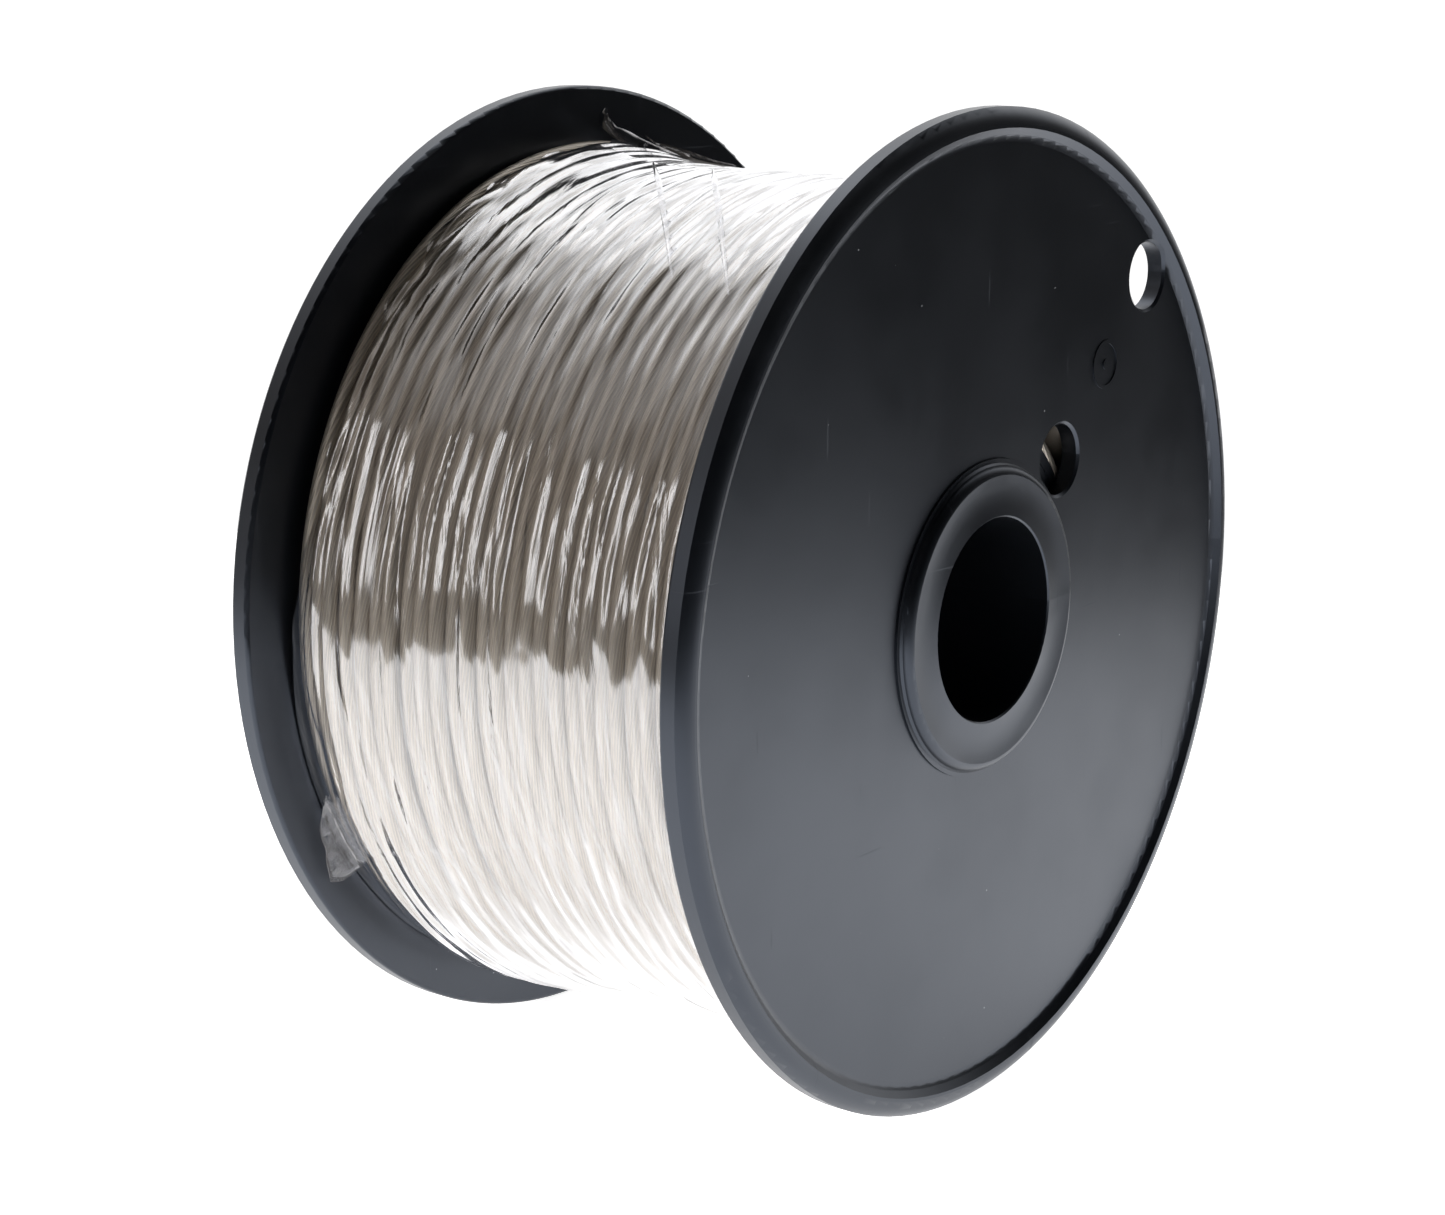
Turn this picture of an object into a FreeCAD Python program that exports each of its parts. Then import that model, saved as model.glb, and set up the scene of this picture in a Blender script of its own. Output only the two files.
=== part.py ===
import FreeCAD, Part
import math
import os
import Sketcher

# Cable spool: two moulded flanges on a ribbed barrel, a full winding of cable and a stretch-film wrap.
#
# Row frame, in millimetres: the spool's axis is Y and Z is up. The origin is on the bore's axis, half way
# between the flanges. The front flange faces -Y, and the rear flange is the same moulding, turned over.
# Each flange is drawn in its own frame, with its inner face at Z = 0 and its outer side towards +Z.

# Driving dimensions. Radii are from the spool's axis, and heights are from a flange's inner face.
SIZES = {
    # flange plate and rim bead
    "flange_radius": 127.0,
    "edge_round": 1.0,
    "edge_inner_radius": 126.0,
    "rim_side_height": 4.6,
    "rim_crest_height": 7.0,
    "rim_crest_outer": 122.7,
    "rim_crest_inner": 121.9,
    "rim_round": 5.1,
    "rim_slope_radius": 120.2,
    "rim_slope_height": 5.55,
    "rim_foot_radius": 118.3,
    "rim_foot_fillet": 3.1,
    "web_height": 4.9,
    # hub boss
    "bore_radius": 26.0,
    "bore_edge_height": 7.6,
    "boss_height": 8.0,
    "boss_face_inner": 26.4,
    "boss_face_outer": 36.6,
    "boss_face_round": 45.0,
    "boss_round": 2.25,
    "boss_wall_top": 38.8,
    "boss_shoulder_height": 6.0,
    "boss_wall_foot": 39.3,
    "boss_step_height": 5.4,
    "boss_base_radius": 40.4,
    # rings on the inner side, which hold the barrel
    "ring_length": 8.0,
    "spigot_outer": 47.6,
    "spigot_inner": 44.6,
    "collar_outer": 32.0,
    "collar_inner": 29.2,
    # holes, on one line at hole_angle from the top
    "hole_angle": 45.0,
    "drive_hole_radius": 9.3,
    "drive_hole_place": 49.8,
    "tie_hole_radius": 9.0,
    "tie_hole_place": 110.8,
    "hole_chamfer": 0.7,
    # raised mould mark, a ring round a dot, on the same line
    "mark_place": 81.0,
    "mark_outer": 6.4,
    "mark_inner": 5.5,
    "mark_dot": 1.3,
    "mark_height": 5.15,
    # barrel
    "traverse": 127.0,
    "barrel_radius": 50.8,
    "barrel_inner": 47.8,
    "arbor_outer": 29.0,
    "rib_thickness": 2.0,
    "rib_overlap": 0.4,
    "rib_setback": 9.0,
    "rib_count": 6,
    # winding and film
    "layer_count": 15,
    "layer_pitch": 4.11,
    "film_thickness": 0.6,
}

RIGHT_ANGLE = 90.0
HALF_TURN = 180.0
FULL_TURN = 360.0

doc = FreeCAD.newDocument("cable_spool")


def make_sheet():
    """The spreadsheet that holds the driving dimensions, one alias to a row."""
    sheet = doc.addObject("Spreadsheet::Sheet", "sizes")
    for row, (alias, value) in enumerate(SIZES.items(), start=1):
        sheet.set(f"A{row}", alias)
        sheet.set(f"B{row}", str(value))
        sheet.setAlias(f"B{row}", alias)
    doc.recompute()
    return sheet


def cell(alias):
    """The expression that reads one cell of the sheet."""
    return f"sizes.{alias}"


def origin_plane(body, role):
    """One of a body's own origin planes."""
    for feature in body.Origin.OriginFeatures:
        if feature.Role == role:
            return feature
    raise RuntimeError(f"{body.Label} has no {role}")


def new_body(label):
    body = doc.addObject("PartDesign::Body", label)
    body.Label = label
    return body


def new_sketch(body, name, role):
    sketch = body.newObject("Sketcher::SketchObject", name)
    sketch.AttachmentSupport = (origin_plane(body, role), [""])
    sketch.MapMode = "FlatFace"
    return sketch


def bind(sketch, constraint, expression):
    """Adds a constraint to a sketch and binds its value to an expression."""
    index = sketch.addConstraint(constraint)
    sketch.setExpression(f"Constraints[{index}]", expression)


def arc_between(start, end, radius, side):
    """The arc from start to end whose centre lies on the left (side 1) or right (side -1) of the chord."""
    chord = end - start
    middle = (start + end) * 0.5
    reach = math.sqrt(radius**2 - (chord.Length / 2) ** 2)
    normal = FreeCAD.Vector(-chord.y, chord.x, 0).normalize()
    centre = middle + normal * (reach * side)
    first = math.atan2(start.y - centre.y, start.x - centre.x)
    last = math.atan2(end.y - centre.y, end.x - centre.x)
    if side < 0:
        first, last = last, first
    circle = Part.Circle(centre, FreeCAD.Vector(0, 0, 1), radius)
    return Part.ArcOfCircle(circle, first, last)


def section_sketch(body, name, corners):
    """A closed section on the XZ plane, from corners of (radius cell, height cell, arc to the next corner).

    A height of None is a corner on the inner face. The arc is None for a straight side, or the cell
    of its radius and the side of the chord that its centre is on.
    """
    sketch = new_sketch(body, name, "XZ_Plane")
    places = []
    for across, height, _ in corners:
        places.append(FreeCAD.Vector(SIZES[across], SIZES[height] if height else 0.0, 0))
    starts = []
    for index, (_, _, arc) in enumerate(corners):
        start = places[index]
        end = places[(index + 1) % len(places)]
        if arc:
            radius_cell, side = arc
            number = sketch.addGeometry(arc_between(start, end, SIZES[radius_cell], side), False)
            bind(sketch, Sketcher.Constraint("Radius", number, SIZES[radius_cell]), cell(radius_cell))
            starts.append((number, 1, 2) if side > 0 else (number, 2, 1))
        else:
            number = sketch.addGeometry(Part.LineSegment(start, end), False)
            starts.append((number, 1, 2))
    for index, (across, height, _) in enumerate(corners):
        number, start_end, _ = starts[index]
        last_number, _, last_end = starts[index - 1]
        sketch.addConstraint(Sketcher.Constraint("Coincident", last_number, last_end, number, start_end))
        bind(
            sketch,
            Sketcher.Constraint("DistanceX", -1, 1, number, start_end, SIZES[across]),
            cell(across),
        )
        if height:
            bind(
                sketch,
                Sketcher.Constraint("DistanceY", -1, 1, number, start_end, SIZES[height]),
                cell(height),
            )
        else:
            sketch.addConstraint(Sketcher.Constraint("PointOnObject", number, start_end, -1))
    return sketch


def circles_sketch(body, name, circles):
    """Circles on the XY plane, from (radius cell, place cell): centred, or out along the hole line."""
    sketch = new_sketch(body, name, "XY_Plane")
    angle = math.radians(SIZES["hole_angle"])
    for radius_cell, place_cell in circles:
        place = SIZES[place_cell] if place_cell else 0.0
        centre = FreeCAD.Vector(place * math.sin(angle), place * math.cos(angle), 0)
        circle = Part.Circle(centre, FreeCAD.Vector(0, 0, 1), SIZES[radius_cell])
        number = sketch.addGeometry(circle, False)
        bind(sketch, Sketcher.Constraint("Radius", number, SIZES[radius_cell]), cell(radius_cell))
        if place_cell:
            bind(
                sketch,
                Sketcher.Constraint("DistanceX", -1, 1, number, 3, centre.x),
                f"{cell(place_cell)} * sin({cell('hole_angle')} * 1deg)",
            )
            bind(
                sketch,
                Sketcher.Constraint("DistanceY", -1, 1, number, 3, centre.y),
                f"{cell(place_cell)} * cos({cell('hole_angle')} * 1deg)",
            )
        else:
            sketch.addConstraint(Sketcher.Constraint("Coincident", number, 3, -1, 1))
    return sketch


def revolve(body, name, sketch):
    feature = body.newObject("PartDesign::Revolution", name)
    feature.Profile = sketch
    feature.ReferenceAxis = (sketch, ["V_Axis"])
    feature.Angle = FULL_TURN
    return feature


def pad(body, name, sketch, length_expression, reverse=False, both_ways=False):
    feature = body.newObject("PartDesign::Pad", name)
    feature.Profile = sketch
    feature.setExpression("Length", length_expression)
    feature.Reversed = reverse
    feature.Midplane = both_ways
    return feature


def hole_rims(shape):
    """The edges where the two holes meet the plate's outer face."""
    radii = (SIZES["drive_hole_radius"], SIZES["tie_hole_radius"])
    names = []
    for index, edge in enumerate(shape.Edges, start=1):
        if not isinstance(edge.Curve, Part.Circle):
            continue
        off_axis = math.hypot(edge.Curve.Center.x, edge.Curve.Center.y) > SIZES["bore_radius"]
        on_face = abs(edge.Curve.Center.z - SIZES["web_height"]) < 1e-6
        if off_axis and on_face and any(abs(edge.Curve.Radius - r) < 1e-6 for r in radii):
            names.append(f"Edge{index}")
    return names


def make_flange(label):
    """One flange moulding: plate with a rim bead, hub boss, two holes and the rings for the barrel."""
    body = new_body(label)
    plate = section_sketch(
        body,
        f"{label}_plate_section",
        [
            ("bore_radius", None, None),
            ("bore_radius", "web_height", None),
            ("rim_foot_radius", "web_height", ("rim_foot_fillet", 1)),
            ("rim_slope_radius", "rim_slope_height", None),
            ("rim_crest_inner", "rim_crest_height", None),
            ("rim_crest_outer", "rim_crest_height", ("rim_round", -1)),
            ("flange_radius", "rim_side_height", None),
            ("flange_radius", "edge_round", ("edge_round", -1)),
            ("edge_inner_radius", None, None),
        ],
    )
    revolve(body, f"{label}_plate", plate)
    doc.recompute()
    holes = circles_sketch(
        body,
        f"{label}_hole_circles",
        [("drive_hole_radius", "drive_hole_place"), ("tie_hole_radius", "tie_hole_place")],
    )
    before = body.Shape.Volume
    pocket = body.newObject("PartDesign::Pocket", f"{label}_holes")
    pocket.Profile = holes
    pocket.Type = "ThroughAll"
    pocket.Midplane = True
    doc.recompute()
    if body.Shape.Volume >= before:
        raise RuntimeError("the holes cut nothing")
    chamfer = body.newObject("PartDesign::Chamfer", f"{label}_hole_chamfers")
    chamfer.Base = (pocket, hole_rims(pocket.Shape))
    chamfer.setExpression("Size", cell("hole_chamfer"))
    mark = circles_sketch(
        body,
        f"{label}_mark_circles",
        [("mark_outer", "mark_place"), ("mark_inner", "mark_place"), ("mark_dot", "mark_place")],
    )
    pad(body, f"{label}_mark", mark, cell("mark_height"))
    rings = circles_sketch(
        body,
        f"{label}_ring_circles",
        [("spigot_outer", None), ("spigot_inner", None), ("collar_outer", None), ("collar_inner", None)],
    )
    pad(body, f"{label}_rings", rings, cell("ring_length"), reverse=True)
    boss = section_sketch(
        body,
        f"{label}_boss_section",
        [
            ("bore_radius", None, None),
            ("bore_radius", "bore_edge_height", None),
            ("boss_face_inner", "boss_height", ("boss_face_round", 1)),
            ("boss_face_outer", "boss_height", ("boss_round", -1)),
            ("boss_wall_top", "boss_shoulder_height", None),
            ("boss_wall_foot", "boss_step_height", None),
            ("boss_base_radius", "boss_step_height", None),
            ("boss_base_radius", None, None),
        ],
    )
    revolve(body, f"{label}_boss", boss)
    return body


def make_barrel():
    """The barrel moulding: outer tube, arbor tube and the radial ribs that join them."""
    body = new_body("barrel")
    wall = circles_sketch(body, "barrel_wall_circles", [("barrel_radius", None), ("barrel_inner", None)])
    pad(body, "barrel_wall", wall, cell("traverse"), both_ways=True)
    rib = new_sketch(body, "barrel_rib_outline", "XY_Plane")
    inner = SIZES["arbor_outer"] - SIZES["rib_overlap"]
    outer = SIZES["barrel_inner"] + SIZES["rib_overlap"]
    half = SIZES["rib_thickness"] / 2
    corners = [(inner, -half), (outer, -half), (outer, half), (inner, half)]
    points = [FreeCAD.Vector(x, y, 0) for x, y in corners]
    for index, point in enumerate(points):
        rib.addGeometry(Part.LineSegment(point, points[(index + 1) % len(points)]), False)
    for index in range(len(points)):
        following = (index + 1) % len(points)
        rib.addConstraint(Sketcher.Constraint("Coincident", index, 2, following, 1))
    rib.addConstraint(Sketcher.Constraint("Horizontal", 0))
    rib.addConstraint(Sketcher.Constraint("Horizontal", 2))
    rib.addConstraint(Sketcher.Constraint("Vertical", 3))
    rib.addConstraint(Sketcher.Constraint("Symmetric", 1, 1, 1, 2, -1))
    bind(rib, Sketcher.Constraint("DistanceY", 1, 1, 1, 2, 2 * half), cell("rib_thickness"))
    bind(
        rib,
        Sketcher.Constraint("DistanceX", -1, 1, 0, 1, inner),
        f"{cell('arbor_outer')} - {cell('rib_overlap')}",
    )
    bind(
        rib,
        Sketcher.Constraint("DistanceX", -1, 1, 0, 2, outer),
        f"{cell('barrel_inner')} + {cell('rib_overlap')}",
    )
    first_rib = pad(
        body,
        "barrel_rib",
        rib,
        f"{cell('traverse')} - 2 * {cell('rib_setback')}",
        both_ways=True,
    )
    doc.recompute()
    ribs = body.newObject("PartDesign::PolarPattern", "barrel_ribs")
    ribs.Originals = [first_rib]
    ribs.Axis = (rib, ["N_Axis"])
    ribs.Angle = FULL_TURN
    ribs.setExpression("Occurrences", cell("rib_count"))
    body.Tip = ribs
    doc.recompute()
    arbor = circles_sketch(body, "barrel_arbor_circles", [("arbor_outer", None), ("bore_radius", None)])
    pad(body, "barrel_arbor", arbor, cell("traverse"), both_ways=True)
    return body


def make_ring(label, inner_expression, outer_expression):
    """A plain ring round the barrel, as long as the traverse."""
    tubes = []
    for name, expression in (("outside", outer_expression), ("inside", inner_expression)):
        tube = doc.addObject("Part::Cylinder", f"{label}_{name}")
        tube.setExpression("Radius", expression)
        tube.setExpression("Height", cell("traverse"))
        tube.setExpression("Placement.Base.z", f"-{cell('traverse')} / 2")
        tubes.append(tube)
    ring = doc.addObject("Part::Cut", label)
    ring.Label = label
    ring.Base, ring.Tool = tubes
    return ring


def layer_radius(number):
    """The expression for the outer radius of a layer of the winding; layer 0 is the barrel."""
    return f"{cell('barrel_radius')} + {number} * {cell('layer_pitch')}"


def make_winding():
    """The layers of the wound cable, from the barrel outwards."""
    layers = []
    for number in range(1, int(SIZES["layer_count"]) + 1):
        layers.append(make_ring(f"cable_layer_{number:02d}", layer_radius(number - 1), layer_radius(number)))
    return layers


def make_film():
    """The stretch film over the outermost layer."""
    last = int(SIZES["layer_count"])
    return make_ring("film_wrap", layer_radius(last), f"{layer_radius(last)} + {cell('film_thickness')}")


def place_parts(front, rear, axial):
    """Stands the spool on its rims: each piece's own Z axis is laid along the row's Y axis."""
    lay_down = FreeCAD.Rotation(FreeCAD.Vector(1, 0, 0), RIGHT_ANGLE)
    front.Placement = FreeCAD.Placement(FreeCAD.Vector(0, -SIZES["traverse"] / 2, 0), lay_down)
    front.setExpression("Placement.Base.y", f"-{cell('traverse')} / 2")
    angle = math.radians(SIZES["hole_angle"])
    hole_line = FreeCAD.Vector(math.sin(angle), 0, math.cos(angle))
    turn_over = FreeCAD.Rotation(hole_line, HALF_TURN)
    rear.Placement = FreeCAD.Placement(
        FreeCAD.Vector(0, SIZES["traverse"] / 2, 0), turn_over.multiply(lay_down)
    )
    rear.setExpression("Placement.Base.y", f"{cell('traverse')} / 2")
    for piece in axial:
        piece.Placement = FreeCAD.Placement(FreeCAD.Vector(0, 0, 0), lay_down)


def check(parts):
    """Stops on any failed object, and on any sub-part without a sound shape."""
    for item in doc.Objects:
        if "Invalid" in item.State or "Error" in item.State:
            raise RuntimeError(f"{item.Label} failed: {item.State}")
    for part in parts:
        if part.Shape.isNull() or not part.Shape.isValid():
            raise RuntimeError(f"{part.Label} has no sound shape")


def export(parts):
    os.makedirs("parts", exist_ok=True)
    for part in parts:
        part.Shape.exportStep(f"parts/{part.Label}.step")
        box = part.Shape.BoundBox
        print(
            f"{part.Label}: {len(part.Shape.Solids)} solid, {part.Shape.Volume / 1000:.1f} cm3, "
            f"x {box.XMin:.1f}..{box.XMax:.1f}, y {box.YMin:.1f}..{box.YMax:.1f}, "
            f"z {box.ZMin:.1f}..{box.ZMax:.1f}"
        )


def main():
    make_sheet()
    front = make_flange("flange_front")
    rear = make_flange("flange_rear")
    barrel = make_barrel()
    winding = make_winding()
    film = make_film()
    doc.recompute()
    place_parts(front, rear, [barrel, *winding, film])
    doc.recompute()
    parts = [front, rear, barrel, *winding, film]
    check(parts)
    export(parts)


main()
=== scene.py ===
import math

import bpy
import numpy as np
from mathutils import Euler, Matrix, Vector


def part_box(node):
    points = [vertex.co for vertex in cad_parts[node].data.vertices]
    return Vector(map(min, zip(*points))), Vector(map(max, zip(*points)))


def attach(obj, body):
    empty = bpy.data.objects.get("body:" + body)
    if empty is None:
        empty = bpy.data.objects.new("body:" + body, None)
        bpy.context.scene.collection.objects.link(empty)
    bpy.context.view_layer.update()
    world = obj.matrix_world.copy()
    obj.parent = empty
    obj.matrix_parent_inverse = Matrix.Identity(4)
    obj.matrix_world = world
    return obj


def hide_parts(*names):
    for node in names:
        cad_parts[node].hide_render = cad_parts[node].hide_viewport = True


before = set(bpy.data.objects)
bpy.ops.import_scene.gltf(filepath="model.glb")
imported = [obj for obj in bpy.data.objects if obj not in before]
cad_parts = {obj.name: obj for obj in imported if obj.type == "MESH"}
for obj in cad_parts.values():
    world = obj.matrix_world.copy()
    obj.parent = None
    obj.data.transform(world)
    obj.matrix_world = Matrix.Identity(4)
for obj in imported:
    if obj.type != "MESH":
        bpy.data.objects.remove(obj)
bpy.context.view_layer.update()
RNG = np.random.default_rng(20)

# ---------------------------------------------------------------- sizes, in metres
PACK_INNER_Y, PACK_OUTER_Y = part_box("film_wrap")[0][1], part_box("film_wrap")[1][1]
FILM_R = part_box("film_wrap")[1][0]
LAYER_COUNT = 15
LAYER_R = {n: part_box(f"cable_layer_{n:02d}")[1][0] for n in range(1, LAYER_COUNT + 1)}
FLANGE_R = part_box("flange_front")[1][0]
FLOOR_Z = -FLANGE_R - 0.0005
TURNS = 27
CABLE_R = 0.00236
CABLE_END = 2.3  # angle from +Z towards +X where the outer turns begin and end, out of sight
OUTER_STEPS = 300  # points round each outer turn
FILM_AROUND = 720  # points round the film
FILM_ACROSS = TURNS * 8 + 1  # points across the film
FILM_GAP = 0.0004  # between the film's edges and the flanges


# ---------------------------------------------------------------- camera, floor and light
def look(azimuth, elevation):
    a, e = math.radians(azimuth), math.radians(elevation)
    return Euler((math.pi / 2 - e, 0.0, a))


camera_data = bpy.data.cameras.new("camera")
camera = bpy.data.objects.new("camera", camera_data)
bpy.context.collection.objects.link(camera)
camera_data.sensor_width = 36.0
camera_data.lens = 75.74
camera_data.clip_start = 0.05
camera_data.clip_end = 20.0
camera.rotation_euler = look(-53.2, 13.3)
camera.location = (-0.63364, -0.46030, 0.17820)
bpy.context.scene.camera = camera
bpy.context.scene.view_settings.view_transform = "Standard"


def node_tree(material):
    material.use_nodes = True
    tree = material.node_tree
    tree.nodes.clear()
    return tree


class Graph:
    """Small helper for building shader graphs."""

    def __init__(self, tree):
        self.tree = tree

    def add(self, kind, props=None, **inputs):
        node = self.tree.nodes.new(kind)
        for key, value in (props or {}).items():
            setattr(node, key, value)
        for key, value in inputs.items():
            self.put(node, key.replace("_", " "), value)
        return node

    def put(self, node, key, value):
        socket = node.inputs[int(key)] if str(key).isdigit() else node.inputs[key]
        if isinstance(value, bpy.types.NodeSocket):
            self.tree.links.new(value, socket)
        else:
            socket.default_value = value

    def math(self, operation, a, b=0.0, c=0.0, clamp=False):
        node = self.tree.nodes.new("ShaderNodeMath")
        node.operation = operation
        node.use_clamp = clamp
        for index, value in enumerate((a, b, c)):
            self.put(node, index, value)
        return node.outputs[0]

    def ramp(self, factor, low, high, to_low=0.0, to_high=1.0, smooth=True):
        node = self.tree.nodes.new("ShaderNodeMapRange")
        node.interpolation_type = "SMOOTHSTEP" if smooth else "LINEAR"
        for index, value in enumerate((factor, low, high, to_low, to_high)):
            self.put(node, index, value)
        return node.outputs[0]

    def mix(self, factor, a, b):
        node = self.tree.nodes.new("ShaderNodeMix")
        node.data_type = "RGBA"
        self.put(node, 0, factor)
        self.put(node, 6, a)
        self.put(node, 7, b)
        return node.outputs[2]

    def noise(self, vector, scale, detail=2.0, rough=0.5, distortion=0.0):
        node = self.tree.nodes.new("ShaderNodeTexNoise")
        self.put(node, "Vector", vector)
        self.put(node, "Scale", scale)
        self.put(node, "Detail", detail)
        self.put(node, "Roughness", rough)
        self.put(node, "Distortion", distortion)
        return node.outputs["Fac"]

    def scaled(self, vector, x, y, z):
        node = self.tree.nodes.new("ShaderNodeMapping")
        self.put(node, "Vector", vector)
        self.put(node, "Scale", (x, y, z))
        return node.outputs[0]

    def bump(self, height, distance, strength=1.0, normal=None):
        node = self.tree.nodes.new("ShaderNodeBump")
        self.put(node, "Height", height)
        self.put(node, "Distance", distance)
        self.put(node, "Strength", strength)
        if normal is not None:
            self.put(node, "Normal", normal)
        return node.outputs[0]


def make_floor():
    """A round white floor that glows, with a painted shadow under the reel where it glows less."""
    radius, steps, shift = 0.72, 96, (-0.118, 0.092)
    ring = [(shift[0] + radius * math.cos(t), shift[1] + radius * math.sin(t), FLOOR_Z)
            for t in np.linspace(0, 2 * math.pi, steps, endpoint=False)]
    mesh = bpy.data.meshes.new("floor")
    mesh.from_pydata(ring, [], [list(range(steps))])
    floor = bpy.data.objects.new("floor", mesh)
    bpy.context.collection.objects.link(floor)
    material = bpy.data.materials.new("floor_white")
    g = Graph(node_tree(material))
    diffuse = g.add("ShaderNodeBsdfDiffuse", Color=(0.9, 0.9, 0.9, 1))
    split = g.add("ShaderNodeSeparateXYZ", Vector=g.add("ShaderNodeTexCoord").outputs["Object"])
    across = g.math("SUBTRACT", split.outputs[0], 0.03)
    back = g.math("SUBTRACT", split.outputs[1], 0.07)
    squares = g.math("ADD", g.math("MULTIPLY", across, across), g.math("MULTIPLY", back, back))
    # painted shadow: the glow drops from 1.30 to 0.84 close under the reel
    strength = g.ramp(g.math("SQRT", squares), 0.07, 0.20, 0.84, 1.30)
    glow = g.add("ShaderNodeEmission", Color=(1.0, 1.0, 1.0, 1), Strength=strength)
    both = g.add("ShaderNodeAddShader")
    g.put(both, 0, diffuse.outputs[0])
    g.put(both, 1, glow.outputs[0])
    out = g.add("ShaderNodeOutputMaterial")
    g.put(out, "Surface", both.outputs[0])
    mesh.materials.append(material)


def make_world():
    """White behind the object and wherever the camera sees past it, and nearly black elsewhere.

    A glow comes from high behind, and a dim warm fill from the back left.
    """
    world = bpy.data.worlds.new("studio")
    bpy.context.scene.world = world
    world.use_nodes = True
    tree = world.node_tree
    tree.nodes.clear()
    g = Graph(tree)
    coords = g.add("ShaderNodeTexCoord").outputs["Generated"]

    def facing(direction, low, high, amount):
        towards = g.add("ShaderNodeVectorMath", {"operation": "DOT_PRODUCT"})
        g.put(towards, 0, coords)
        g.put(towards, 1, direction)
        return g.ramp(towards.outputs["Value"], low, high, 0.0, amount)

    light_path = g.add("ShaderNodeLightPath").outputs["Is Camera Ray"]
    behind = facing((0.76, 0.56, 0.33), 0.44, 0.80, 1.15)
    glow = facing((-0.24, 0.60, 0.76), 0.89, 1.0, 0.34)
    white = g.math("ADD", g.math("ADD", behind, 0.013), glow)
    background = g.add("ShaderNodeBackground", Color=(1.0, 1.0, 1.0, 1))
    g.put(background, "Strength", g.ramp(light_path, 0.0, 1.0, white, 1.1, smooth=False))
    warm = g.add("ShaderNodeBackground", Color=(1.0, 0.86, 0.72, 1))
    g.put(warm, "Strength", facing((-0.55, 0.66, 0.50), 0.50, 1.0, 0.24))
    both = g.add("ShaderNodeAddShader")
    g.put(both, 0, background.outputs[0])
    g.put(both, 1, warm.outputs[0])
    out = g.add("ShaderNodeOutputWorld")
    g.put(out, "Surface", both.outputs[0])


def area_light(name, azimuth, elevation, distance, size, power):
    """A lamp that faces the origin. Azimuth is the direction to the lamp, 0 along +X, anticlockwise."""
    data = bpy.data.lights.new(name, "AREA")
    data.shape = "RECTANGLE"
    data.size, data.size_y = size
    data.energy = power
    lamp = bpy.data.objects.new(name, data)
    a, e = math.radians(azimuth), math.radians(elevation)
    place = distance * Vector((math.cos(a) * math.cos(e), math.sin(a) * math.cos(e), math.sin(e)))
    lamp.location = place
    lamp.rotation_euler = (-place).to_track_quat("-Z", "Y").to_euler()
    bpy.context.collection.objects.link(lamp)


make_floor()
make_world()
area_light("top_softbox", azimuth=44, elevation=63, distance=2.2, size=(1.2, 1.2), power=4.6)
area_light("left_softbox", azimuth=156, elevation=20, distance=1.4, size=(0.26, 0.90), power=1.45)


# ---------------------------------------------------------------- materials
def reel_plastic():
    """Satin black moulding: soft uneven gloss, fine grain, hairline scratches, dust and rubbed rims."""
    material = bpy.data.materials.new("reel_plastic_satin_black")
    g = Graph(node_tree(material))
    place = g.add("ShaderNodeTexCoord").outputs["Object"]
    split = g.add("ShaderNodeSeparateXYZ", Vector=place)
    x, _, z = split.outputs
    radius = g.math("SQRT", g.math("ADD", g.math("MULTIPLY", x, x), g.math("MULTIPLY", z, z)))
    cloud = g.noise(place, 22.0, 3.0, 0.6)
    fine = g.noise(place, 900.0, 2.0, 0.5)
    # hairline scratches in two directions
    scratch_a = g.noise(g.scaled(place, 30.0, 30.0, 900.0), 1.0, 1.0, 0.4)
    scratch_b = g.noise(g.scaled(place, 700.0, 60.0, 45.0), 1.0, 1.0, 0.4)
    hair = g.math("MAXIMUM", g.ramp(scratch_a, 0.735, 0.80), g.ramp(scratch_b, 0.735, 0.80))
    # dust specks
    specks = g.add("ShaderNodeTexVoronoi", {"feature": "F1"}, Vector=place, Scale=260.0)
    small = g.ramp(specks.outputs["Distance"], 0.035, 0.075, 1.0, 0.0)
    pick = g.add("ShaderNodeSeparateColor", Color=specks.outputs["Color"])
    some = g.math("GREATER_THAN", pick.outputs[0], 0.965)
    dust = g.math("MULTIPLY", small, some)
    # the rims are rubbed a little brighter
    by_rim = g.ramp(radius, FLANGE_R - 0.0070, FLANGE_R - 0.0008)
    rim_wear = g.math("MULTIPLY", by_rim, g.ramp(cloud, 0.42, 0.72))
    colour = g.mix(cloud, (0.0022, 0.0027, 0.0040, 1), (0.0032, 0.0038, 0.0052, 1))
    colour = g.mix(g.math("MULTIPLY", rim_wear, 0.35), colour, (0.030, 0.032, 0.036, 1))
    colour = g.mix(g.math("MULTIPLY", hair, 0.25), colour, (0.05, 0.052, 0.056, 1))
    colour = g.mix(g.math("MULTIPLY", dust, 0.9), colour, (0.42, 0.43, 0.45, 1))
    rough = g.math("ADD", g.ramp(cloud, 0.3, 0.7, 0.30, 0.36), g.math("MULTIPLY", hair, 0.15))
    rough = g.math("ADD", rough, g.math("MULTIPLY", dust, 0.4))
    relief = g.math("ADD", g.math("MULTIPLY", fine, 0.5), g.math("MULTIPLY", hair, -0.6))
    normal = g.bump(relief, 0.00002, 0.55)
    wave = g.noise(place, 55.0, 2.0, 0.5)
    normal = g.bump(wave, 0.0004, 0.12, normal)
    shader = g.add("ShaderNodeBsdfPrincipled")
    g.put(shader, "Base Color", colour)
    g.put(shader, "Roughness", rough)
    g.put(shader, "IOR", 1.5)
    g.put(shader, "Specular IOR Level", 1.0)
    g.put(shader, "Specular Tint", (0.70, 0.79, 0.97, 1))
    g.put(shader, "Normal", normal)
    out = g.add("ShaderNodeOutputMaterial")
    g.put(out, "Surface", shader.outputs[0])
    return material


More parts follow.
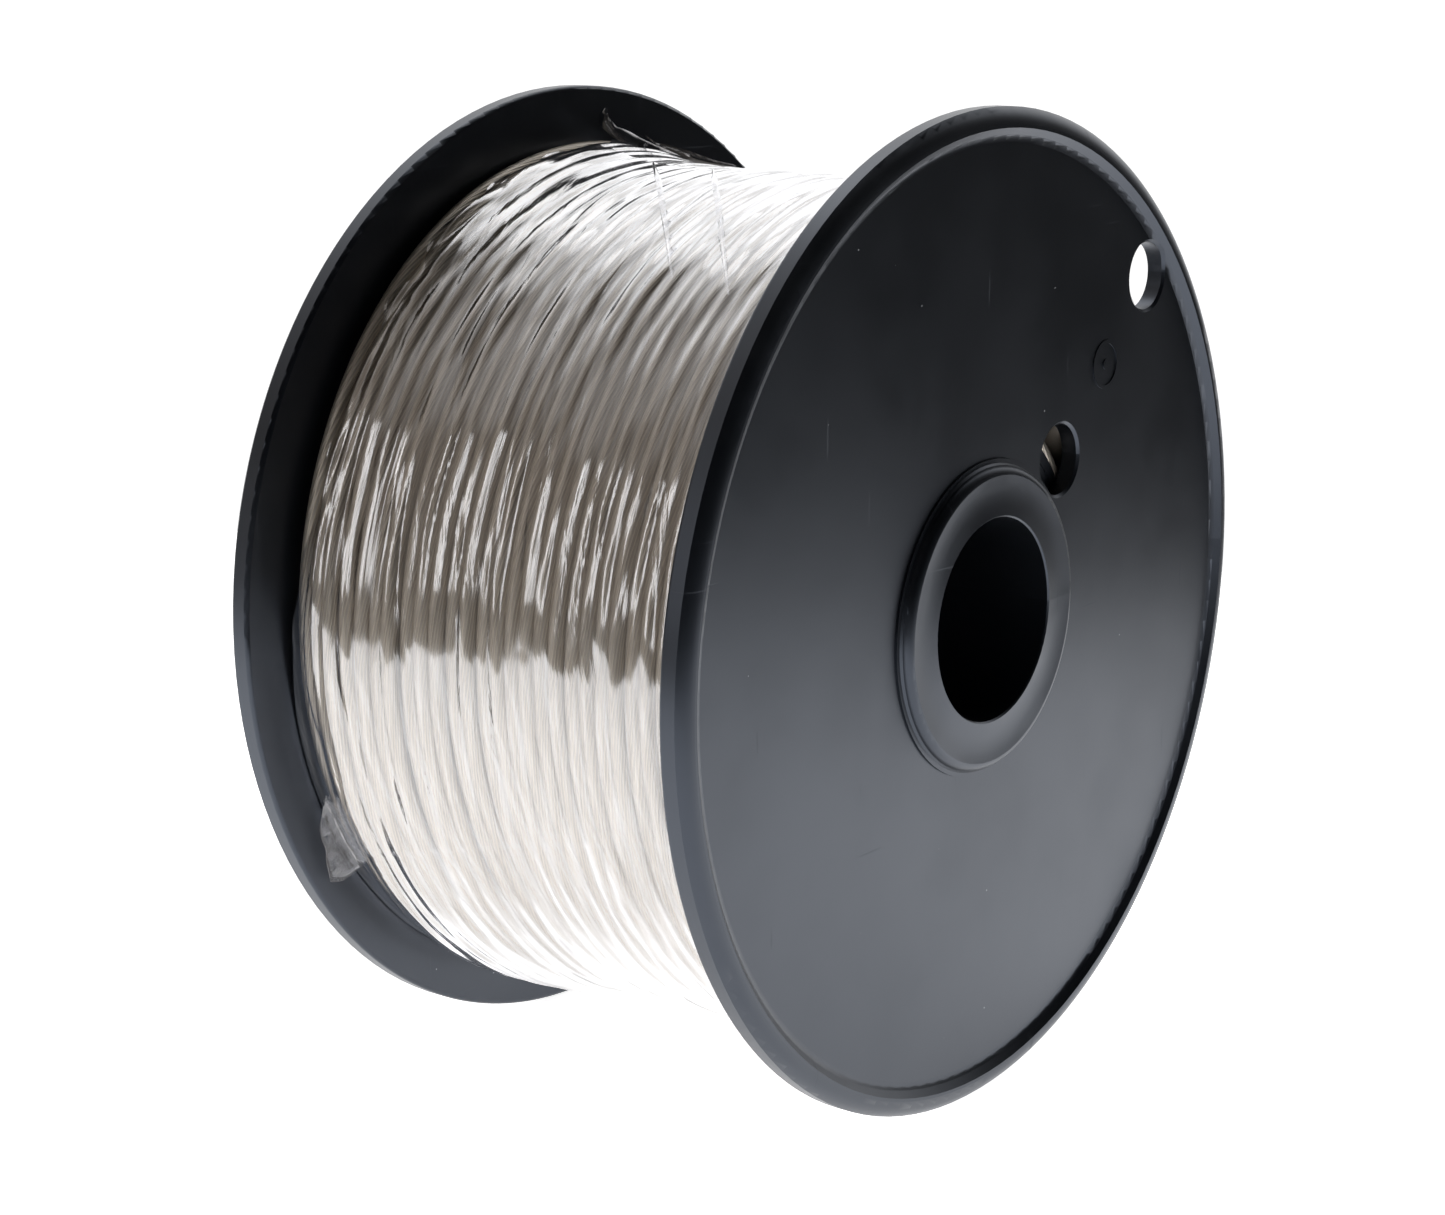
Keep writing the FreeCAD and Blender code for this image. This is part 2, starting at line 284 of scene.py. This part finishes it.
def cable_sheathed():
    """Clear smooth sheath over a twisted bundle of fine grey-brown and tan metal strands, with a painted
    highlight in light tan along the top of each strand.
    """
    material = bpy.data.materials.new("cable_clear_sheath")
    g = Graph(node_tree(material))
    uv = g.add("ShaderNodeUVMap", {"uv_map": "run"}).outputs[0]
    split = g.add("ShaderNodeSeparateXYZ", Vector=uv)
    along, around = split.outputs[0], split.outputs[1]
    place = g.add("ShaderNodeTexCoord").outputs["Object"]
    # twisted strands: bands that creep round the tube along its run
    twist = g.math("MULTIPLY", along, 1.0 / 0.105)
    phase = g.math("ADD", around, twist)
    drift = g.math("MULTIPLY", g.noise(g.scaled(uv, 26.0, 1.5, 1.0), 1.0, 2.0, 0.5), 0.20)
    phase = g.math("ADD", phase, drift)
    strands = g.math("SINE", g.math("MULTIPLY", phase, 2 * math.pi * 19))
    strands = g.ramp(strands, -1.0, 1.0)
    bundle = g.ramp(g.math("SINE", g.math("MULTIPLY", phase, 2 * math.pi * 4)), -1.0, 1.0)
    twisted = g.add("ShaderNodeCombineXYZ", X=along, Y=phase).outputs[0]
    thread = g.noise(g.scaled(twisted, 12.0, 55.0, 1.0), 1.0, 2.0, 0.6)
    patch = g.noise(place, 38.0, 2.0, 0.5)
    colour = g.mix(bundle, (0.375, 0.325, 0.270, 1), (0.590, 0.535, 0.470, 1))
    colour = g.mix(g.ramp(thread, 0.35, 0.65), colour, (0.480, 0.440, 0.395, 1))
    # painted highlight: the top of each strand is coloured light tan
    colour = g.mix(g.math("MULTIPLY", g.ramp(strands, 0.62, 1.0), 0.65), colour, (0.720, 0.650, 0.530, 1))
    colour = g.mix(g.math("MULTIPLY", g.ramp(patch, 0.55, 0.75), 0.30), colour, (0.600, 0.580, 0.550, 1))
    rough = g.ramp(thread, 0.3, 0.7, 0.34, 0.46)
    height = g.math("ADD", g.math("MULTIPLY", strands, 0.6), g.math("MULTIPLY", thread, 0.5))
    normal = g.bump(height, 0.00012, 0.8)
    shader = g.add("ShaderNodeBsdfPrincipled")
    g.put(shader, "Base Color", colour)
    g.put(shader, "Metallic", 0.72)
    g.put(shader, "Roughness", rough)
    g.put(shader, "Normal", normal)
    g.put(shader, "Coat Weight", 0.4)
    g.put(shader, "Coat Roughness", 0.12)
    g.put(shader, "Coat IOR", 1.5)
    out = g.add("ShaderNodeOutputMaterial")
    g.put(out, "Surface", shader.outputs[0])
    return material


def stretch_film(name, gain, hazy):
    """Thin clear film: see-through, with broken reflections drawn out along its pull.

    gain and hazy rise with the number of turns that lie on each other.
    """
    material = bpy.data.materials.new(name)
    g = Graph(node_tree(material))
    uv = g.add("ShaderNodeUVMap", {"uv_map": "wrap"}).outputs[0]
    # streaks drawn out along the pull of the film, fine fibres on them, and some slanting creases
    pulled = g.noise(g.scaled(uv, 13.0, 250.0, 1.0), 1.0, 2.0, 0.5, 0.15)
    tilted = g.add("ShaderNodeVectorRotate", {"rotation_type": "Z_AXIS"}, Vector=uv, Angle=-0.24).outputs[0]
    slanted = g.noise(g.scaled(tilted, 22.0, 420.0, 1.0), 1.0, 2.0, 0.6, 0.2)
    fibres = g.noise(g.scaled(uv, 34.0, 1300.0, 1.0), 1.0, 2.0, 0.6)
    area = g.ramp(g.noise(g.scaled(uv, 22.0, 60.0, 1.0), 1.0, 2.0, 0.5), 0.42, 0.66)
    creases = g.math("MULTIPLY", slanted, g.math("MULTIPLY", area, 0.7))
    height = g.math("ADD", g.math("MULTIPLY", pulled, 0.6), creases)
    normal = g.bump(height, 0.00045, 0.6)
    broken = g.noise(g.scaled(uv, 30.0, 115.0, 1.0), 1.0, 1.0, 0.5, 0.1)
    normal = g.bump(broken, 0.0034, 0.6, normal)
    normal = g.bump(fibres, 0.00007, 0.7, normal)
    gloss = g.add("ShaderNodeBsdfPrincipled")
    g.put(gloss, "Base Color", (0.92, 0.92, 0.94, 1))
    g.put(gloss, "Metallic", 1.0)
    g.put(gloss, "Roughness", 0.11)
    g.put(gloss, "Normal", normal)
    clear = g.add("ShaderNodeBsdfTransparent", Color=(0.98, 0.98, 0.985, 1))
    # the same reflection from both faces of a film, 5% face on and all of it at a grazing angle
    tilt = g.add("ShaderNodeLayerWeight", Blend=0.5)
    g.put(tilt, "Normal", normal)
    reflection = g.math("MULTIPLY_ADD", g.math("POWER", tilt.outputs["Facing"], 5.0), 0.95, 0.048)
    crease_haze = g.ramp(slanted, 0.45, 0.75, 0.4 * hazy, hazy)
    haze = g.math("ADD", crease_haze, g.ramp(fibres, 0.45, 0.70, 0.0, 0.9 * hazy))
    amount = g.math("ADD", g.math("MULTIPLY", reflection, gain), haze, clamp=True)
    both = g.add("ShaderNodeMixShader")
    g.put(both, 0, amount)
    g.put(both, 1, clear.outputs[0])
    g.put(both, 2, gloss.outputs[0])
    out = g.add("ShaderNodeOutputMaterial")
    g.put(out, "Surface", both.outputs[0])
    return material


# ---------------------------------------------------------------- shapes
def new_object(name, vertices, faces, material, uv, uv_name):
    """A smooth mesh object. uv gives the flat coordinates of the loops from their vertex numbers."""
    mesh = bpy.data.meshes.new(name)
    mesh.from_pydata([tuple(v) for v in vertices], [], faces)
    layer = mesh.uv_layers.new(name=uv_name)
    loops = np.empty(len(mesh.loops), dtype=np.int32)
    mesh.loops.foreach_get("vertex_index", loops)
    layer.data.foreach_set("uv", np.asarray(uv(loops), dtype=np.float32).ravel())
    mesh.polygons.foreach_set("use_smooth", [True] * len(mesh.polygons))
    mesh.materials.append(material)
    mesh.update()
    obj = bpy.data.objects.new(name, mesh)
    bpy.context.collection.objects.link(obj)
    return obj


def step(x, low, high):
    """A smooth step from 0 at low to 1 at high."""
    t = np.clip((x - low) / (high - low), 0.0, 1.0)
    return t * t * (3 - 2 * t)


def smoothed(values, width):
    """The values averaged with their neighbours over a bell of width points, an odd number."""
    bell = np.hanning(width)
    return np.convolve(np.pad(values, width // 2, mode="edge"), bell / bell.sum(), mode="valid")


def pack_shape(theta, y):
    """How far the wound surface stands over its full radius. theta is from +Z towards +X.

    It is pressed in at the top except by the rear flange, and bulges at the bottom of the rear half, with a
    shoulder beside the flange.
    """
    top = 0.5 + 0.5 * np.cos(theta - 0.15)
    low = 0.5 - 0.5 * np.cos(theta - 0.45)
    pressed = 0.0050 * top ** 0.8 * (1.0 - step(y, 0.028, 0.0635))
    bulge = 0.0048 * low ** 1.5 * step(y, -0.004, 0.044) * (1.0 - 0.85 * step(y, 0.051, 0.0615))
    return bulge - pressed


def winding(
    name,
    outer_r,
    material,
    start=0.0,
    steps=OUTER_STEPS,
    sides=12,
    ragged=0.00042,
    inset=0.0,
    hand=1,
    follow=0.0,
):
    """One wound layer of cable, as close turns of one tube, and the tube's y and radius along it.

    steps is the number of points round each turn and sides the number round the tube. ragged is how far the
    turns wander, inset moves the first turn off the front flange, hand is 1 or -1 for the way they run, and
    follow is how much of pack_shape they take.
    """
    low, high = PACK_INNER_Y + CABLE_R + inset, PACK_OUTER_Y - CABLE_R
    count = TURNS * steps + 1
    t = np.linspace(0, TURNS, count)
    angle = start + hand * 2 * math.pi * t
    y = low + (high - low) * (t / TURNS)
    kernel = np.hanning(steps // 2)
    kernel /= kernel.sum()

    def wander(knots, amount):
        values = np.interp(t, np.linspace(0, TURNS, knots), RNG.normal(0, amount, knots))
        return np.convolve(np.pad(values, steps, mode="edge"), kernel, mode="same")[steps:-steps]

    drift = wander(TURNS * 3, ragged)
    lift = wander(TURNS * 4, ragged * 0.4)
    fade = np.clip(np.minimum(t, TURNS - t), 0, 1)
    y = y + drift * fade
    radius = outer_r - CABLE_R + lift + follow * pack_shape(angle, y)
    centre = np.stack([radius * np.sin(angle), y, radius * np.cos(angle)], axis=1)
    out = np.stack([np.sin(angle), np.zeros(count), np.cos(angle)], axis=1)
    side = np.array([0.0, 1.0, 0.0])
    phi = np.linspace(0, 2 * math.pi, sides, endpoint=False)
    ring = out[:, None, :] * np.cos(phi)[None, :, None] + side[None, None, :] * np.sin(phi)[None, :, None]
    points = centre[:, None, :] + CABLE_R * ring
    vertices = points.reshape(-1, 3)
    faces = []
    for i in range(count - 1):
        a, b = i * sides, (i + 1) * sides
        for j in range(sides):
            k = (j + 1) % sides
            faces.append((a + j, b + j, b + k, a + k) if hand > 0 else (a + j, a + k, b + k, b + j))
    first_end, last = list(range(sides)), (count - 1) * sides
    if hand < 0:
        first_end.reverse()
    faces.append(tuple(first_end))
    faces.append(tuple(last + j for j in reversed(first_end)))
    run = np.concatenate([[0], np.cumsum(np.linalg.norm(np.diff(centre, axis=0), axis=1))])

    def uv(loops):
        u = run[loops // sides]
        v = (loops % sides) / sides
        # the quads that close the ring run on past 1 instead of back to 0
        quad_loops = (count - 1) * sides * 4
        quads = v[:quad_loops].reshape(-1, 4)
        closing = quads.max(axis=1) - quads.min(axis=1) > 0.5
        quads[closing] = np.where(quads[closing] < 0.5, quads[closing] + 1.0, quads[closing])
        return np.stack([u, v], axis=1)

    return new_object(name, vertices, faces, material, uv, "run"), y, radius


def waves(T, Y, count, turns, pitch):
    """A sum of slanting waves over angle T and width Y: turns is the range of whole waves round the pack."""
    total = np.zeros(np.broadcast(T, Y).shape)
    for _ in range(count):
        k, m = RNG.integers(*turns), RNG.uniform(*pitch) * RNG.choice((-1, 1))
        total += np.cos(k * T + m * Y + RNG.uniform(0, 2 * math.pi))
    return total


def strip(path, half_widths, leans, cup, steps=36, rows=5):
    """A narrow strip of film along path, a list of (degrees from the top, radius, y), for sheet_object.

    It leans from lying along the axis (0) to standing up (90), and its edges curl by cup.
    """
    t = np.linspace(0, len(path) - 1, steps)
    knots = np.arange(len(path))
    degrees, radius, y = (
        smoothed(np.interp(t, knots, [point[i] for point in path]), 7) for i in range(3)
    )
    angle = np.radians(degrees)
    out = np.stack([np.sin(angle), np.zeros(steps), np.cos(angle)], axis=1)
    centre = out * radius[:, None] + np.stack([np.zeros(steps), y, np.zeros(steps)], axis=1)
    lean = np.radians(np.interp(t, knots, leans))[:, None]
    wide = np.cos(lean) * np.array([0.0, 1.0, 0.0]) + np.sin(lean) * out
    normal = np.cross(np.gradient(centre, axis=0), wide)
    normal /= np.linalg.norm(normal, axis=1)[:, None]
    half = np.interp(t, knots, half_widths)
    across = np.linspace(-1, 1, rows)
    points = centre[:, None, :] + wide[:, None, :] * (half[:, None] * across)[:, :, None]
    points = points + normal[:, None, :] * (cup * across ** 2)[None, :, None]
    run = np.concatenate([[0], np.cumsum(np.linalg.norm(np.diff(centre, axis=0), axis=1))])
    uv = np.stack(np.broadcast_arrays(run[:, None], (half[:, None] * across)), axis=2)
    return points, uv, False


def flap():
    """A corner of the film turned up against the rear flange at the lower left."""
    foot = 0.1120
    s, t = np.meshgrid(np.linspace(0, 1, 25), np.linspace(0, 1, 13), indexing="ij")
    degrees = -113.5 - 12.5 * s
    corners = (-126, -125, -123.5, -118.5, -116.5, -113.5)
    outer = np.interp(degrees, corners, (0.115, 0.120, 0.1235, 0.120, 0.119, 0.1135))
    radius = foot + (outer - foot) * t
    crease = 0.0007 * np.exp(-((s - 0.46) / 0.06) ** 2) * t
    y = 0.0600 + 0.0020 * t - 0.0008 * step(t, 0.90, 1.0) - crease
    angle = np.radians(degrees)
    points = np.stack([radius * np.sin(angle), y, radius * np.cos(angle)], axis=2)
    return points, np.stack([radius, 0.12 * angle], axis=2), False


def film_surface(turn_y, turn_r):
    """The film pulled over the outer turns, as grids of angle, y and radius.

    It lies from crest to crest, with sags, puckers, lifted patches, its cut end and a ragged rear edge.
    """
    theta = np.linspace(0, 2 * math.pi, FILM_AROUND, endpoint=False)
    degrees = (np.degrees(theta) + 180) % 360 - 180
    # at the upper left the film stops short of the rear flange
    short = step(degrees, -104, -66) * (1 - step(degrees, -2, 14))
    ragged = waves(theta, np.zeros(FILM_AROUND), 12, (9, 60), (1, 2))
    end = PACK_OUTER_Y - FILM_GAP - short * (0.0075 + 0.00035 * ragged)
    front = PACK_INNER_Y + FILM_GAP
    Y = front + (end - front)[:, None] * np.linspace(0, 1, FILM_ACROSS)[None, :]
    T = np.broadcast_to(theta[:, None], Y.shape)
    run = np.arange(len(turn_y)) / OUTER_STEPS
    R = np.empty_like(Y)
    for i, angle in enumerate(theta):
        crests = np.arange(TURNS) + (angle - CABLE_END) % (2 * math.pi) / (2 * math.pi)
        crest_y = np.interp(crests, run, turn_y)
        crest_r = np.interp(crests, run, turn_r) + CABLE_R
        line = np.interp(Y[i], crest_y, crest_r)
        # the film sags between the crests
        turn = np.interp(Y[i], crest_y, np.arange(TURNS))
        line -= 0.00024 * np.sin(math.pi * turn) ** 2
        # past the last crest it dips to the flange
        past_ends = step(crest_y[0] - Y[i], 0.0, CABLE_R) + step(Y[i] - crest_y[-1], 0.0, CABLE_R)
        R[i] = line - 0.00035 * past_ends
    smooth = np.stack([smoothed(row, 23) for row in R])
    # patches where the film stands clear of several turns, long in the direction of the pull
    lift = waves(T, Y, 26, (3, 10), (330, 820))
    lift = step(lift / np.abs(lift).max(), 0.22, 0.50) * (0.30 + 0.70 * step(Y, -0.045, 0.010))
    R += lift * (smooth + 0.00038 - R)
    # crumpled along its short rear edge
    crumple = np.abs(waves(T, Y, 9, (4, 22), (450, 1100))) / 4
    R += 0.0006 * crumple * short[:, None] * step(Y, end[:, None] - 0.008, end[:, None] - 0.002)
    # the cut end of the film lies over the turns before it
    end_line = np.interp(Y, (-0.0438, 0.0492), (-110.5, -121.2))
    past = degrees[:, None] - end_line
    R += 0.00022 * step(past, 0.0, 0.9) * (1 - step(past, 12.0, 60.0))
    # it puckers everywhere, and stays clear of the cable
    R += 0.00012 + np.abs(waves(T, Y, 20, (3, 14), (90, 420))) * 0.000028
    return T, Y, R


def film_loose_ends(Y, R):
    """The film that stands off the wound film: two folds, the gathered edge, the tail and the flap."""

    def lying(points):
        """Strip points just clear of the wound film, from (degrees from the top, y)."""
        path = []
        for degrees, y in points:
            row = int(round(degrees % 360 / 360 * FILM_AROUND)) % FILM_AROUND
            path.append((degrees, float(np.interp(y, Y[row], R[row])) + 0.0006, y))
        return path

    # two narrow folds cross the turns at the top
    first_fold = strip(
        lying([(-1, 0.035), (-10, 0.020), (-19, 0.006), (-29, -0.009), (-36, -0.019)]),
        [0.0004, 0.0011, 0.0010, 0.0008, 0.0003],
        [4, 12, 6, -8, 0],
        cup=0.0004,
    )
    second_fold = strip(
        lying([(-2, 0.014), (-10, 0.002), (-18, -0.010), (-30, -0.027), (-38, -0.038)]),
        [0.0004, 0.0011, 0.0011, 0.0008, 0.0003],
        [-8, 8, 12, -4, 4],
        cup=0.0004,
    )
    # the gathered edge lies along the top, and the twisted tail stands up by the rear flange
    gathered_edge = strip(
        [
            (10, 0.1129, 0.0570),
            (8, 0.1131, 0.0510),
            (6, 0.1118, 0.0430),
            (7, 0.1097, 0.0340),
            (6, 0.1084, 0.0240),
            (5, 0.1080, 0.0160),
        ],
        [0.0012, 0.0016, 0.0012, 0.0014, 0.0009, 0.0003],
        [70, 95, 50, 85, 60, 80],
        cup=0.0005,
        steps=60,
    )
    twisted_tail = strip(
        [
            (22, 0.1110, 0.0520),
            (14, 0.1126, 0.0545),
            (9, 0.1136, 0.0560),
            (5, 0.1147, 0.0568),
            (2, 0.1176, 0.0565),
            (1.4, 0.1200, 0.0560),
            (1.8, 0.1216, 0.0555),
        ],
        [0.0006, 0.0017, 0.0022, 0.0016, 0.0019, 0.0014, 0.0003],
        [10, 25, 60, 100, 150, 185, 215],
        cup=0.0007,
        steps=60,
    )
    return [first_fold, second_fold, gathered_edge, twisted_tail, flap()]


def sheet_object(name, sheets, material):
    """One object from sheets: grids of points, their flat coordinates and whether each closes on itself."""
    vertices, uvs, faces = [], [], []
    for points, uv, closed in sheets:
        rows, columns = points.shape[:2]
        first = sum(len(v) for v in vertices)
        for i in range(rows if closed else rows - 1):
            a, b = first + i * columns, first + ((i + 1) % rows) * columns
            faces += [(a + j, b + j, b + j + 1, a + j + 1) for j in range(columns - 1)]
        vertices.append(points.reshape(-1, 3))
        uvs.append(uv.reshape(-1, 2))
    vertices, uvs = np.concatenate(vertices), np.concatenate(uvs)

    def uv_of(loops):
        # the quads that close the sleeve run on past one turn instead of back to 0
        out = uvs[loops]
        u = out[:, 0].reshape(-1, 4)
        seam = np.ptp(u, axis=1) > math.pi * FILM_R
        u[seam] = np.where(u[seam] < math.pi * FILM_R, u[seam] + 2 * math.pi * FILM_R, u[seam])
        out[:, 0] = u.ravel()
        return out

    return new_object(name, vertices, faces, material, uv_of, "wrap")


# ---------------------------------------------------------------- pieces
black = reel_plastic()
cable = cable_sheathed()
film = stretch_film("stretch_film_wound", gain=4.0, hazy=0.12)
loose_film = stretch_film("stretch_film_loose", gain=2.4, hazy=0.05)

for node_name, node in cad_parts.items():
    for slot in node.material_slots:
        if node_name.startswith("cable"):
            slot.material = cable
        elif node_name == "film_wrap":
            slot.material = film
        else:
            slot.material = black

outer, outer_y, outer_radius = winding("cable_outer_turns", LAYER_R[15], cable, start=CABLE_END, follow=1.0)
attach(outer, "root")
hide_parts("cable_layer_15")

under, _, _ = winding(
    "cable_under_turns", LAYER_R[14], cable, steps=120, sides=10, hand=-1, follow=0.6
)
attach(under, "root")
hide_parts("cable_layer_14")

first, _, _ = winding("cable_first_turns", LAYER_R[1], cable, steps=110, sides=10, ragged=0.0001)
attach(first, "root")
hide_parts("cable_layer_01")

second, _, _ = winding(
    "cable_second_turns", LAYER_R[2], cable, steps=110, sides=10, ragged=0.0001, inset=0.003, hand=-1
)
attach(second, "root")
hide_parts("cable_layer_02")

film_t, film_y, film_r = film_surface(outer_y, outer_radius)
wound = np.stack([film_r * np.sin(film_t), film_y, film_r * np.cos(film_t)], axis=2)
flat = np.stack([film_t * FILM_R, film_y], axis=2)
sleeve = sheet_object("film_sleeve", [(wound, flat, True)], film)
loose_ends = sheet_object("film_sleeve_loose_ends", film_loose_ends(film_y, film_r), loose_film)
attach(loose_ends, "root")
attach(sleeve, "root")
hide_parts("film_wrap")
